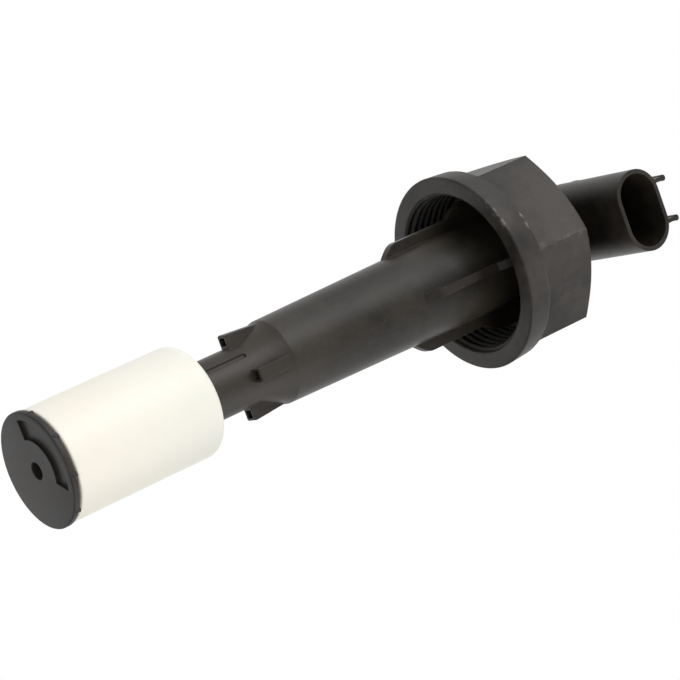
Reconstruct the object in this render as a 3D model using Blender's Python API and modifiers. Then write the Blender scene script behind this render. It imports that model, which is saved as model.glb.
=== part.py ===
"""Coolant level sensor: a reed switch in a moulded stem, with a ring float that slides on it.

The stem hangs along -Z under the flange, and the head with its plug socket stands above.
The origin is on the stem's axis at the flange's sealing face. The socket points along +X.
"""

import math

import bmesh
import bpy
from mathutils import Matrix

MM = 0.001
GAP = 0.3 * MM  # between pieces that touch on the real sensor
ROUND = 64  # flats round a large turned shape
FINE_ROUND = 24  # flats round a small turned shape
OVERLAP = 1.0 * MM  # how far a cutter or a joined form runs past the face it meets

# stem
STEM_REACH = 137.0 * MM  # sealing face down to the end cap's outer face
STEM_TOP_RADIUS = 11.25 * MM
STEM_LOW_RADIUS = 10.1 * MM
GUIDE_REACH = 64.4 * MM  # end cap's outer face up to the top of the shoulder
SHOULDER_HEIGHT = 8.2 * MM
SHOULDER_ROUND = 1.2 * MM
GUIDE_RADIUS = 7.15 * MM
GUIDE_BORE_RADIUS = 5.0 * MM
STEM_BORE_RADIUS = 6.8 * MM
TIP_WALL = 4.6 * MM

# keyway in the guide tube
KEYWAY_ANGLE = math.radians(-43.0)
KEYWAY_WIDTH = 1.2 * MM
KEYWAY_DEPTH = 0.6 * MM
KEY_WIDTH = 0.5 * MM
KEY_DEPTH = 0.25 * MM  # how far the float's key reaches into the keyway
KEY_LENGTH = 30.0 * MM

# buttress fins at the shoulder
FIN_COUNT = 4
FIN_DROP = 1.9 * MM  # how far a fin's face stands below the shoulder
FIN_RADIUS = 10.2 * MM
FIN_REAR_RADIUS = 9.4 * MM
FIN_LENGTH = 10.5 * MM
FIN_WIDTH = 3.0 * MM
FIN_POCKET_WALL = 0.5 * MM
FIN_POCKET_DEPTH = 3.0 * MM

# locating ribs under the flange
RIB_COUNT = 4
RIB_WIDTH = 2.0 * MM
RIB_LENGTH = 34.6 * MM
RIB_RAMP = 4.6 * MM
RIB_RADIUS = 13.4 * MM
RIB_COLLAR_RADIUS = 15.9 * MM
RIB_COLLAR_LENGTH = 8.0 * MM
RIB_BLEND = 5.7 * MM

# flange, head and seal
FLANGE_RADIUS = 18.3 * MM
FLANGE_THICKNESS = 3.6 * MM
HEAD_RADIUS = 9.1 * MM
HEAD_HEIGHT = 27.8 * MM
HEAD_EDGE = 0.6 * MM
SEAL_THICKNESS = 2.0 * MM
SEAL_WIDTH = 2.0 * MM
LID_RADIUS = 7.7 * MM
LID_THICKNESS = 1.5 * MM
LID_SPIGOT = 2.0 * MM
LID_DISH = 0.5 * MM

# plug socket
SOCKET_MOUTH = 27.6 * MM  # stem axis to the mouth
SOCKET_WIDTH = 13.0 * MM  # along the stem
SOCKET_LENGTH = 19.8 * MM  # across the stem
SOCKET_WALL = 1.05 * MM
SOCKET_DEPTH = 17.6 * MM
SOCKET_LIP = 0.3 * MM
RAIL_SPACING = 10.0 * MM
RAIL_THICKNESS = 0.95 * MM
RAIL_HEIGHT = 2.4 * MM
RAIL_LENGTH = 13.0 * MM
RAIL_BEAD = 1.5 * MM
LATCH_WIDTH = 4.0 * MM
LATCH_LENGTH = 4.5 * MM
LATCH_HEIGHT = 1.5 * MM
LATCH_SETBACK = 4.0 * MM

# contact pins and their carrier
PIN_SPACING = 6.0 * MM
PIN_WIDTH = 2.8 * MM
PIN_THICKNESS = 0.8 * MM
PIN_TIP = 19.0 * MM
PIN_TAPER = 1.6 * MM
PIN_TAIL = 1.2 * MM
CARRIER_LENGTH = 12.4 * MM
CARRIER_WIDTH = 5.0 * MM
CARRIER_BEAD = 1.2 * MM
CARRIER_PROUD = 1.0 * MM

# board, reed switch and resistors
BOARD_PLANE = -1.6 * MM
BOARD_THICKNESS = 1.0 * MM
BOARD_WIDTH = 8.0 * MM
BOARD_HEAD_WIDTH = 10.6 * MM
BOARD_HEAD_BELOW = 9.3 * MM  # how far the board's wide end reaches below the pins, and above them
BOARD_HEAD_ABOVE = 2.5 * MM
BOARD_TONGUE_WIDTH = 5.0 * MM
BOARD_TONGUE_LENGTH = 6.0 * MM
CUSHION_HEIGHT = 5.0 * MM
CUSHION_FLOOR = 1.6 * MM
REED_RADIUS = 1.3 * MM
REED_WALL = 0.35 * MM
REED_LENGTH = 14.0 * MM
REED_END_WALL = 1.2 * MM
BLADE_THICKNESS = 0.24 * MM
BLADE_WIDTH = 0.9 * MM
BLADE_OVERLAP = 1.2 * MM
BLADE_GAP = 0.32 * MM
LEAD_RADIUS = 0.25 * MM
LEAD_LENGTH = 3.4 * MM
RESISTOR_SIZE = (0.6 * MM, 1.6 * MM, 3.2 * MM)
RESISTOR_RISES = (91.0 * MM, 105.0 * MM)  # their middles, up from the end cap's outer face

# float and its magnet
FLOAT_RADIUS = 13.15 * MM
FLOAT_LENGTH = 39.4 * MM
FLOAT_CLEARANCE = 0.55 * MM  # radial, on the guide tube
FLOAT_TOP_EDGE = 1.7 * MM
FLOAT_LOW_EDGE = 0.5 * MM
MAGNET_RADIUS = 11.5 * MM
MAGNET_WIDTH = 2.7 * MM
MAGNET_HEIGHT = 6.0 * MM
RETAINER_HEIGHT = 1.5 * MM
RETAINER_SETBACK = 0.4 * MM

# end cap
CAP_RADIUS = 13.45 * MM
CAP_THICKNESS = 1.4 * MM
CAP_EDGE = 0.25 * MM
CAP_HUB_RADIUS = 4.2 * MM
CAP_HUB_HEIGHT = 2.6 * MM
CAP_HOLE_RADIUS = 2.05 * MM
CAP_HOLE_DEPTH = 3.2 * MM
CAP_RECESS_INNER = 7.1 * MM
CAP_RECESS_OUTER = 11.6 * MM
CAP_RECESS_DEPTH = 0.7 * MM
CAP_RECESS_MIDDLE = math.radians(-33.3)
CAP_RECESS_SPAN = math.radians(118.0)
CAP_NUB_COUNT = 9
CAP_NUB_ANGLE = math.radians(-31.3)
CAP_NUB_RADIUS = 0.65 * MM
CAP_NUB_HEIGHT = 0.4 * MM
CAP_NUB_INSET = 0.5 * MM

# union nut
NUT_FRONT = -14.5 * MM
NUT_LENGTH = 22.7 * MM
NUT_FLATS = 41.0 * MM
NUT_CLOCK = math.radians(27.7)
NUT_CHAMFER = 1.6 * MM
NUT_COLLAR_LENGTH = 7.0 * MM
NUT_COLLAR_RADIUS = 24.0 * MM
NUT_COLLAR_REAR_RADIUS = 23.6 * MM
NUT_EDGE = 0.4 * MM
NUT_THREAD_ROOT = 19.7 * MM
NUT_MOUTH_CHAMFER = 0.4 * MM
NUT_LIP_HOLE = 13.5 * MM

# sizes that follow from the ones above
CAP_FACE = -STEM_REACH
SHOULDER_TOP = CAP_FACE + GUIDE_REACH
GUIDE_END = CAP_FACE + CAP_THICKNESS + GAP
SHOULDER_FOOT = SHOULDER_TOP - SHOULDER_HEIGHT
FIN_FACE = SHOULDER_FOOT - FIN_DROP
RESISTOR_HEIGHTS = [CAP_FACE + rise for rise in RESISTOR_RISES]
FLOAT_BORE_RADIUS = GUIDE_RADIUS + FLOAT_CLEARANCE
FLOAT_LOW = CAP_FACE + CAP_THICKNESS + CAP_NUB_HEIGHT + GAP
FLOAT_TOP = FLOAT_LOW + FLOAT_LENGTH
SOCKET_MIDDLE = HEAD_HEIGHT - SOCKET_WIDTH / 2
SOCKET_FLOOR = SOCKET_MOUTH - SOCKET_DEPTH
BOARD_HEAD_FROM = SOCKET_MIDDLE - BOARD_HEAD_BELOW
BOARD_HEAD_TO = SOCKET_MIDDLE + BOARD_HEAD_ABOVE
LID_SEAT = HEAD_HEIGHT - LID_THICKNESS - GAP
BORE_FLOOR = GUIDE_END + TIP_WALL
MAGNET_TOP = FLOAT_TOP - RETAINER_SETBACK - RETAINER_HEIGHT - GAP
REED_MIDDLE = MAGNET_TOP - MAGNET_HEIGHT / 2
BOARD_FACE = BOARD_PLANE + BOARD_THICKNESS / 2
BOARD_END = BORE_FLOOR + GAP + CUSHION_FLOOR + GAP
REED_AXIS = BOARD_FACE + REED_RADIUS + GAP
NUT_REAR = NUT_FRONT + NUT_LENGTH
NUT_SEAT = FLANGE_THICKNESS + GAP


def clear_scene():
    for obj in list(bpy.data.objects):
        bpy.data.objects.remove(obj, do_unlink=True)


def new_collection(name):
    collection = bpy.data.collections.new(name)
    bpy.context.scene.collection.children.link(collection)
    return collection


def new_material(name, colour, roughness, metallic=0.0):
    material = bpy.data.materials.new(name)
    material.use_nodes = True
    shader = material.node_tree.nodes["Principled BSDF"]
    shader.inputs["Base Color"].default_value = (*colour, 1.0)
    shader.inputs["Roughness"].default_value = roughness
    shader.inputs["Metallic"].default_value = metallic
    material.diffuse_color = (*colour, 1.0)
    return material


clear_scene()
PARTS = new_collection("coolant_level_sensor")
CUTTERS = new_collection("cutters")
BLACK_PLASTIC = new_material("black_plastic", (0.035, 0.033, 0.031), 0.5)
NUT_PLASTIC = new_material("nut_plastic", (0.052, 0.048, 0.046), 0.6)
FLOAT_PLASTIC = new_material("float_plastic", (0.88, 0.85, 0.77), 0.42)
SEAL_RUBBER = new_material("seal_rubber", (0.02, 0.02, 0.02), 0.8)
CARRIER_PLASTIC = new_material("carrier_plastic", (0.05, 0.05, 0.055), 0.5)
TINNED_METAL = new_material("tinned_metal", (0.75, 0.74, 0.72), 0.3, 1.0)
BOARD_LAMINATE = new_material("board_laminate", (0.05, 0.16, 0.07), 0.45)
CAPSULE_GLASS = new_material("capsule_glass", (0.35, 0.6, 0.5), 0.1)
BLADE_METAL = new_material("blade_metal", (0.62, 0.6, 0.56), 0.35, 1.0)
RESISTOR_BODY = new_material("resistor_body", (0.03, 0.03, 0.035), 0.4)
FERRITE = new_material("ferrite", (0.06, 0.06, 0.065), 0.6, 0.3)
CUSHION_RUBBER = new_material("cushion_rubber", (0.5, 0.12, 0.08), 0.7)


def add_object(name, mesh, material, collection=PARTS):
    obj = bpy.data.objects.new(name, mesh)
    collection.objects.link(obj)
    if material:
        mesh.materials.append(material)
    if collection is CUTTERS:
        obj.hide_render = True
        obj.display_type = "WIRE"
    return obj


def mesh_from(name, shape, smooth_angle=math.radians(35)):
    """The mesh of a bmesh, facing out, with its shallow edges shaded smooth."""
    bmesh.ops.recalc_face_normals(shape, faces=shape.faces)
    mesh = bpy.data.meshes.new(name)
    shape.to_mesh(mesh)
    shape.free()
    mesh.shade_smooth()
    mesh.set_sharp_from_angle(angle=smooth_angle)
    return mesh


def turned(name, outline, material=None, collection=CUTTERS, steps=ROUND):
    """A profile of (radius, height) points turned round Z. The outline runs down its outer side."""
    shape = bmesh.new()
    points = [shape.verts.new((radius, 0, height)) for radius, height in outline]
    for start, end in zip(points, points[1:]):
        shape.edges.new((start, end))
    if outline[0][0] > 0:
        shape.edges.new((points[-1], points[0]))
    mesh = bpy.data.meshes.new(name)
    shape.to_mesh(mesh)
    shape.free()
    obj = add_object(name, mesh, material, collection)
    screw = obj.modifiers.new("turn", "SCREW")
    screw.steps = steps
    screw.render_steps = steps
    screw.use_merge_vertices = True
    screw.merge_threshold = 0.00001
    screw.use_smooth_shade = True
    return obj


def box(name, low, high, material=None, collection=CUTTERS):
    """A block between two corners."""
    shape = bmesh.new()
    size = [b - a for a, b in zip(low, high)]
    middle = [(a + b) / 2 for a, b in zip(low, high)]
    place = Matrix.Translation(middle) @ Matrix.Diagonal((*size, 1.0))
    bmesh.ops.create_cube(shape, size=1.0, matrix=place)
    return add_object(name, mesh_from(name, shape), material, collection)


def rod(name, radius, start, length, matrix=None, material=None, collection=CUTTERS, steps=FINE_ROUND):
    """A cylinder from height start upwards, then placed by a matrix."""
    shape = bmesh.new()
    place = (matrix or Matrix()) @ Matrix.Translation((0, 0, start + length / 2))
    bmesh.ops.create_cone(shape, cap_ends=True, segments=steps, radius1=radius, radius2=radius,
                          depth=length, matrix=place)
    return add_object(name, mesh_from(name, shape), material, collection)


def plate(name, outline, thickness, matrix=None, material=None, collection=CUTTERS):
    """A flat outline in XY given a thickness, centred on its plane, then placed by a matrix."""
    shape = bmesh.new()
    face = shape.faces.new([shape.verts.new((x, y, -thickness / 2)) for x, y in outline])
    raised = bmesh.ops.extrude_face_region(shape, geom=[face])["geom"]
    lifted = [part for part in raised if isinstance(part, bmesh.types.BMVert)]
    bmesh.ops.translate(shape, verts=lifted, vec=(0, 0, thickness))
    bmesh.ops.transform(shape, matrix=matrix or Matrix(), verts=shape.verts)
    return add_object(name, mesh_from(name, shape), material, collection)


def combine(target, tool, operation):
    modifier = target.modifiers.new(tool.name, "BOOLEAN")
    modifier.operation = operation
    modifier.object = tool


def join(target, tool):
    combine(target, tool, "UNION")


def cut(target, tool):
    combine(target, tool, "DIFFERENCE")


def arc(middle, radius, start, end, steps):
    """Points along an arc, from one angle to another, both in degrees."""
    angles = [math.radians(start + (end - start) * step / steps) for step in range(steps + 1)]
    return [(middle[0] + radius * math.cos(a), middle[1] + radius * math.sin(a)) for a in angles]


def radial_plane(angle):
    """Turns an outline drawn in (radius, height) into the plane through the stem's axis."""
    upright = Matrix.Rotation(math.radians(90), 4, "X")
    return Matrix.Rotation(angle, 4, "Z") @ upright


def around(count, start=0.0):
    return [start + 2 * math.pi * step / count for step in range(count)]


def stadium(width, length, steps=12):
    """An outline with straight long sides and round ends. Its length runs along Y."""
    radius = width / 2
    middle = length / 2 - radius
    top = arc((0, middle), radius, 0, 180, steps)
    return top + arc((0, -middle), radius, 180, 360, steps)


def along_x(start):
    """Places a plate drawn in (along the stem, across the stem) at a distance along the socket."""
    turn = Matrix(((0, 0, 1, start), (0, 1, 0, 0), (1, 0, 0, SOCKET_MIDDLE), (0, 0, 0, 1)))
    return turn


def stem_radius(height):
    """The stem's draft: its radius at a height below the flange."""
    share = height / SHOULDER_TOP
    return STEM_TOP_RADIUS + (STEM_LOW_RADIUS - STEM_TOP_RADIUS) * share


def shoulder_outline():
    """The cone between stem and guide tube, with its upper edge rounded."""
    slope = math.degrees(math.atan2(SHOULDER_HEIGHT, STEM_LOW_RADIUS - GUIDE_RADIUS))
    corner = (STEM_LOW_RADIUS, SHOULDER_TOP)
    run = SHOULDER_ROUND * math.tan(math.radians((90 - slope) / 2))
    middle = (corner[0] - SHOULDER_ROUND, corner[1] + run)
    return arc(middle, SHOULDER_ROUND, 0, slope - 90, 4) + [(GUIDE_RADIUS, SHOULDER_FOOT)]


def housing_body():
    edge = HEAD_EDGE
    head = arc((HEAD_RADIUS - edge, HEAD_HEIGHT - edge), edge, 90, 0, 3)
    flange = [
        (HEAD_RADIUS, FLANGE_THICKNESS + edge),
        (HEAD_RADIUS + edge, FLANGE_THICKNESS),
        (FLANGE_RADIUS, FLANGE_THICKNESS),
        (FLANGE_RADIUS, 0),
        (STEM_TOP_RADIUS, 0),
    ]
    tip = [(GUIDE_RADIUS, GUIDE_END), (0, GUIDE_END)]
    outline = [(0, HEAD_HEIGHT)] + head + flange + shoulder_outline() + tip
    return turned("housing", outline, BLACK_PLASTIC, PARTS)


def fin_outline():
    root = GUIDE_RADIUS - OVERLAP
    nose = 0.4 * MM
    corner = arc((FIN_RADIUS - nose, FIN_FACE + nose), nose, -90, 0, 3)
    rear = [(FIN_REAR_RADIUS, FIN_FACE + FIN_LENGTH), (root, FIN_FACE + FIN_LENGTH)]
    return [(root, FIN_FACE)] + corner + rear


def rib_outline():
    """A rib's edge: a rounded ramp out of the stem, a straight run, then a step up to the flange."""
    start = -RIB_LENGTH
    root = STEM_LOW_RADIUS - OVERLAP
    foot = stem_radius(start) - 0.2 * MM
    rise = RIB_RADIUS - foot
    ramp = []
    for step in range(7):
        share = step / 6
        ramp.append((foot + rise * math.sin(share * math.pi / 2), start + RIB_RAMP * share))
    blend = []
    step_start = -RIB_COLLAR_LENGTH - RIB_BLEND
    for step in range(7):
        share = step / 6
        lift = (RIB_COLLAR_RADIUS - RIB_RADIUS) * math.sin(share * math.pi / 2)
        blend.append((RIB_RADIUS + lift, step_start + RIB_BLEND * share))
    top = [(RIB_COLLAR_RADIUS, OVERLAP), (root, OVERLAP)]
    return [(root, start)] + ramp + blend + top


def add_fins(housing):
    for index, angle in enumerate(around(FIN_COUNT)):
        fin = plate(f"fin_{index + 1}", fin_outline(), FIN_WIDTH, radial_plane(angle))
        join(housing, fin)


def cut_fin_pockets(housing):
    inner = GUIDE_RADIUS + FIN_POCKET_WALL
    outer = FIN_RADIUS - FIN_POCKET_WALL
    width = FIN_WIDTH - 2 * FIN_POCKET_WALL
    for index, angle in enumerate(around(FIN_COUNT)):
        low, high = FIN_FACE - OVERLAP, FIN_FACE + FIN_POCKET_DEPTH
        outline = [(inner, low), (outer, low), (outer - FIN_POCKET_WALL, high), (inner, high)]
        cut(housing, plate(f"fin_pocket_{index + 1}", outline, width, radial_plane(angle)))


def add_ribs(housing):
    for index, angle in enumerate(around(RIB_COUNT)):
        rib = plate(f"rib_{index + 1}", rib_outline(), RIB_WIDTH, radial_plane(angle))
        join(housing, rib)


def add_socket(housing):
    """The shroud of the plug socket, with the rails and the nib that the plug latches on."""
    shroud = plate("shroud", stadium(SOCKET_WIDTH, SOCKET_LENGTH), SOCKET_MOUTH, along_x(SOCKET_MOUTH / 2))
    join(housing, shroud)
    low = HEAD_HEIGHT - OVERLAP
    high = HEAD_HEIGHT + RAIL_HEIGHT
    start = SOCKET_MOUTH - RAIL_LENGTH
    for index, side in enumerate((-1, 1)):
        middle = side * RAIL_SPACING / 2
        near, far = middle - RAIL_THICKNESS / 2, middle + RAIL_THICKNESS / 2
        join(housing, box(f"rail_{index + 1}", (start, near, low), (SOCKET_MOUTH, far, high)))
        bead = Matrix.Translation((0, middle, high)) @ Matrix.Rotation(math.radians(90), 4, "Y")
        join(housing, rod(f"rail_bead_{index + 1}", RAIL_BEAD / 2, start, RAIL_LENGTH, bead, steps=12))
    front = SOCKET_MOUTH - LATCH_SETBACK
    nib = [(front - LATCH_LENGTH, low), (front, low), (front - LATCH_LENGTH, HEAD_HEIGHT + LATCH_HEIGHT)]
    join(housing, plate("latch_nib", nib, LATCH_WIDTH, Matrix.Rotation(math.radians(90), 4, "X")))


def cut_socket(housing):
    inner_width = SOCKET_WIDTH - 2 * SOCKET_WALL
    inner_length = SOCKET_LENGTH - 2 * SOCKET_WALL
    depth = SOCKET_DEPTH + OVERLAP
    hollow = plate("socket_hollow", stadium(inner_width, inner_length), depth,
                   along_x(SOCKET_FLOOR + depth / 2))
    cut(housing, hollow)
    opening = (CARRIER_LENGTH / 2 + GAP, CARRIER_WIDTH / 2 + GAP)
    cut(housing, box("carrier_window", (0, -opening[0], SOCKET_MIDDLE - opening[1]),
                     (SOCKET_FLOOR + OVERLAP, opening[0], SOCKET_MIDDLE + opening[1])))


def cut_bore(housing):
    seat = LID_RADIUS + GAP
    outline = [
        (0, HEAD_HEIGHT + OVERLAP),
        (seat, HEAD_HEIGHT + OVERLAP),
        (seat, LID_SEAT),
        (STEM_BORE_RADIUS, LID_SEAT),
        (STEM_BORE_RADIUS, SHOULDER_TOP),
        (GUIDE_BORE_RADIUS, SHOULDER_TOP - (STEM_BORE_RADIUS - GUIDE_BORE_RADIUS)),
        (GUIDE_BORE_RADIUS, BORE_FLOOR),
        (0, BORE_FLOOR),
    ]
    cut(housing, turned("bore", outline, steps=40))
    hub = [
        (0, GUIDE_END + CAP_HUB_HEIGHT + GAP),
        (CAP_HUB_RADIUS + GAP, GUIDE_END + CAP_HUB_HEIGHT + GAP),
        (CAP_HUB_RADIUS + GAP, GUIDE_END - OVERLAP),
        (0, GUIDE_END - OVERLAP),
    ]
    cut(housing, turned("hub_socket", hub, steps=32))


def cut_keyway(housing):
    """A shallow round-bottomed groove that ends in a round at the shoulder's foot."""
    radius = (KEYWAY_WIDTH ** 2 / 4 + KEYWAY_DEPTH ** 2) / (2 * KEYWAY_DEPTH)
    top = SHOULDER_FOOT - KEYWAY_WIDTH
    outline = arc((0, top), radius, 90, 0, 5) + [(radius, GUIDE_END - OVERLAP), (0, GUIDE_END - OVERLAP)]
    groove = turned("keyway", outline, steps=20)
    reach = GUIDE_RADIUS - KEYWAY_DEPTH + radius
    groove.location = (reach * math.cos(KEYWAY_ANGLE), reach * math.sin(KEYWAY_ANGLE), 0)
    cut(housing, groove)


def make_housing():
    housing = housing_body()
    add_fins(housing)
    add_ribs(housing)
    add_socket(housing)
    cut_socket(housing)
    cut_bore(housing)
    cut_keyway(housing)
    cut_fin_pockets(housing)


def make_end_cap():
    edge = CAP_EDGE
    rear = CAP_FACE + CAP_THICKNESS
    outline = [
        (0, GUIDE_END + CAP_HUB_HEIGHT),
        (CAP_HUB_RADIUS - edge, GUIDE_END + CAP_HUB_HEIGHT),
        (CAP_HUB_RADIUS, GUIDE_END + CAP_HUB_HEIGHT - edge),
        (CAP_HUB_RADIUS, rear),
        (CAP_RADIUS, rear),
        (CAP_RADIUS, CAP_FACE + edge),
        (CAP_RADIUS - edge, CAP_FACE),
        (0, CAP_FACE),
    ]
    cap = turned("end_cap", outline, BLACK_PLASTIC, PARTS)
    for index, angle in enumerate(around(CAP_NUB_COUNT, CAP_NUB_ANGLE)):
        reach = CAP_RADIUS - CAP_NUB_INSET
        spot = Matrix.Translation((reach * math.cos(angle), reach * math.sin(angle), 0))
        nub = rod(f"nub_{index + 1}", CAP_NUB_RADIUS, rear - CAP_THICKNESS / 2,
                  CAP_THICKNESS / 2 + CAP_NUB_HEIGHT, spot, steps=10)
        join(cap, nub)
    cut(cap, rod("cap_hole", CAP_HOLE_RADIUS, CAP_FACE - OVERLAP, CAP_HOLE_DEPTH + OVERLAP))
    first = math.degrees(CAP_RECESS_MIDDLE - CAP_RECESS_SPAN / 2)
    last = math.degrees(CAP_RECESS_MIDDLE + CAP_RECESS_SPAN / 2)
    inner = arc((0, 0), CAP_RECESS_INNER, first, last, 20)
    outer = arc((0, 0), CAP_RECESS_OUTER, last, first, 20)
    floor = Matrix.Translation((0, 0, CAP_FACE))
    cut(cap, plate("cap_recess", inner + outer, 2 * CAP_RECESS_DEPTH, floor))


def make_float():
    high, low = FLOAT_TOP_EDGE, FLOAT_LOW_EDGE
    top = arc((FLOAT_RADIUS - high, FLOAT_TOP - high), high, 90, 0, 5)
    bottom = arc((FLOAT_RADIUS - low, FLOAT_LOW + low), low, 0, -90, 3)
    bore = [(FLOAT_BORE_RADIUS, FLOAT_LOW), (FLOAT_BORE_RADIUS, FLOAT_TOP)]
    body = turned("float_body", top + bottom + bore, FLOAT_PLASTIC, PARTS)
    key_tip, key_root = GUIDE_RADIUS - KEY_DEPTH, FLOAT_BORE_RADIUS + GAP
    key_low, key_high = FLOAT_LOW + OVERLAP, FLOAT_LOW + OVERLAP + KEY_LENGTH
    key = [(key_tip, key_low), (key_root, key_low), (key_root, key_high), (key_tip, key_high)]
    join(body, plate("float_key", key, KEY_WIDTH, radial_plane(KEYWAY_ANGLE)))
    outer = MAGNET_RADIUS + GAP
    inner = MAGNET_RADIUS - MAGNET_WIDTH - GAP
    floor = MAGNET_TOP - MAGNET_HEIGHT - GAP
    pocket = [(inner, FLOAT_TOP + OVERLAP), (outer, FLOAT_TOP + OVERLAP), (outer, floor), (inner, floor)]
    cut(body, turned("magnet_pocket", pocket))


def ring(name, outer, width, low, height, material, steps=ROUND):
    inner = outer - width
    outline = [(inner, low + height), (outer, low + height), (outer, low), (inner, low)]
    return turned(name, outline, material, PARTS, steps)


def make_magnet():
    ring("float_magnet", MAGNET_RADIUS, MAGNET_WIDTH, MAGNET_TOP - MAGNET_HEIGHT, MAGNET_HEIGHT, FERRITE)
    low = FLOAT_TOP - RETAINER_SETBACK - RETAINER_HEIGHT
    ring("magnet_retainer", MAGNET_RADIUS, MAGNET_WIDTH, low, RETAINER_HEIGHT, FLOAT_PLASTIC)


def make_seal():
    outer = RIB_COLLAR_RADIUS + GAP + SEAL_WIDTH
    ring("seal_ring", outer, SEAL_WIDTH, -GAP - SEAL_THICKNESS, SEAL_THICKNESS, SEAL_RUBBER)


def make_lid():
    top = HEAD_HEIGHT
    edge = LID_DISH
    spigot = STEM_BORE_RADIUS - GAP
    outline = [
        (0, top - edge),
        (LID_RADIUS - 3 * edge, top - edge),
        (LID_RADIUS - 2 * edge, top),
        (LID_RADIUS, top),
        (LID_RADIUS, top - LID_THICKNESS),
        (spigot, top - LID_THICKNESS),
        (spigot, top - LID_THICKNESS - LID_SPIGOT),
        (0, top - LID_THICKNESS - LID_SPIGOT),
    ]
    turned("head_lid", outline, BLACK_PLASTIC, PARTS, 48)


def nut_envelope():
    """What trims the hexagon: a cylinder whose rear end is a cone, so the corners are chamfered."""
    corner = NUT_FLATS / 2 / math.cos(math.radians(30))
    inner = NUT_FLATS / 2
    return [
        (0, NUT_REAR),
        (inner, NUT_REAR),
        (corner + OVERLAP, NUT_REAR - NUT_CHAMFER * (corner + OVERLAP - inner) / (corner - inner)),
        (corner + OVERLAP, NUT_FRONT + OVERLAP),
        (0, NUT_FRONT + OVERLAP),
    ]


def make_nut():
    """A hexagon with a round collar, bored for the thread, and a lip that presses on the flange."""
    corner = NUT_FLATS / 2 / math.cos(math.radians(30))
    clock = Matrix.Rotation(NUT_CLOCK, 4, "Z")
    start = NUT_FRONT + NUT_COLLAR_LENGTH / 2
    nut = rod("union_nut", corner, start, NUT_REAR - start, clock, NUT_PLASTIC, PARTS, steps=6)
    trim = turned("nut_envelope", nut_envelope())
    combine(nut, trim, "INTERSECT")
    collar_end = NUT_FRONT + NUT_COLLAR_LENGTH
    edge = NUT_EDGE
    collar = [(0, collar_end), (NUT_COLLAR_REAR_RADIUS - edge, collar_end),
              (NUT_COLLAR_REAR_RADIUS, collar_end - edge)]
    collar += arc((NUT_COLLAR_RADIUS - edge, NUT_FRONT + edge), edge, 0, -90, 3) + [(0, NUT_FRONT)]
    join(nut, turned("nut_collar", collar))
    bore = [
        (0, NUT_REAR + OVERLAP),
        (NUT_LIP_HOLE + NUT_EDGE, NUT_REAR + OVERLAP),
        (NUT_LIP_HOLE + NUT_EDGE, NUT_REAR),
        (NUT_LIP_HOLE, NUT_REAR - NUT_EDGE),
        (NUT_LIP_HOLE, NUT_SEAT),
        (NUT_THREAD_ROOT, NUT_SEAT),
        (NUT_THREAD_ROOT, NUT_FRONT + NUT_MOUTH_CHAMFER),
        (NUT_THREAD_ROOT + NUT_MOUTH_CHAMFER + OVERLAP, NUT_FRONT - OVERLAP),
        (0, NUT_FRONT - OVERLAP),
    ]
    cut(nut, turned("nut_bore", bore))


def make_pins():
    half = PIN_THICKNESS / 2
    start = BOARD_PLANE - BOARD_THICKNESS / 2 - PIN_TAIL
    for index, side in enumerate((-1, 1)):
        middle = side * PIN_SPACING / 2
        near, far = middle - PIN_WIDTH / 2, middle + PIN_WIDTH / 2
        shape = bmesh.new()
        size = (PIN_TIP - start, far - near, 2 * half)
        place = Matrix.Translation(((PIN_TIP + start) / 2, middle, SOCKET_MIDDLE))
        bmesh.ops.create_cube(shape, size=1.0, matrix=place @ Matrix.Diagonal((*size, 1.0)))
        tip = [edge for edge in shape.edges if all(v.co.x > PIN_TIP - half for v in edge.verts)]
        bmesh.ops.bevel(shape, geom=tip, offset=PIN_THICKNESS * 0.35, segments=1, profile=0.5,
                        affect="EDGES", material=-1)
        for point in shape.verts:
            if point.co.x > PIN_TIP - PIN_TAPER / 2:
                point.co.y = middle + (point.co.y - middle) * 0.75
        name = f"contact_pin_{index + 1}"
        add_object(name, mesh_from(name, shape), TINNED_METAL)


def make_carrier():
    """The moulded block that closes the socket's floor round the two pins."""
    back = STEM_BORE_RADIUS + GAP
    half = (CARRIER_LENGTH / 2, CARRIER_WIDTH / 2)
    carrier = box("terminal_carrier", (back, -half[0], SOCKET_MIDDLE - half[1]),
                  (SOCKET_FLOOR + CARRIER_PROUD, half[0], SOCKET_MIDDLE + half[1]), CARRIER_PLASTIC, PARTS)
    for index, side in enumerate((-1, 1)):
        middle = side * PIN_SPACING / 2
        reach = (PIN_WIDTH / 2 + GAP, PIN_THICKNESS / 2 + GAP)
        cut(carrier, box(f"pin_slot_{index + 1}",
                         (0, middle - reach[0], SOCKET_MIDDLE - reach[1]),
                         (SOCKET_MOUTH, middle + reach[0], SOCKET_MIDDLE + reach[1])))


def make_board():
    head, main, tongue = BOARD_HEAD_WIDTH / 2, BOARD_WIDTH / 2, BOARD_TONGUE_WIDTH / 2
    shoulder = BOARD_END + BOARD_TONGUE_LENGTH
    right = [(tongue, BOARD_END), (tongue, shoulder), (main, shoulder), (main, BOARD_HEAD_FROM),
             (head, BOARD_HEAD_FROM), (head, BOARD_HEAD_TO)]
    left = [(-y, z) for y, z in reversed(right)]
    upright = Matrix(((0, 0, 1, BOARD_PLANE), (1, 0, 0, 0), (0, 1, 0, 0), (0, 0, 0, 1)))
    board = plate("carrier_board", right + left, BOARD_THICKNESS, upright, BOARD_LAMINATE, PARTS)
    for index, side in enumerate((-1, 1)):
        middle = side * PIN_SPACING / 2
        reach = (PIN_WIDTH / 2 + GAP, PIN_THICKNESS / 2 + GAP)
        cut(board, box(f"board_slot_{index + 1}",
                       (BOARD_PLANE - OVERLAP, middle - reach[0], SOCKET_MIDDLE - reach[1]),
                       (BOARD_PLANE + OVERLAP, middle + reach[0], SOCKET_MIDDLE + reach[1])))


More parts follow.
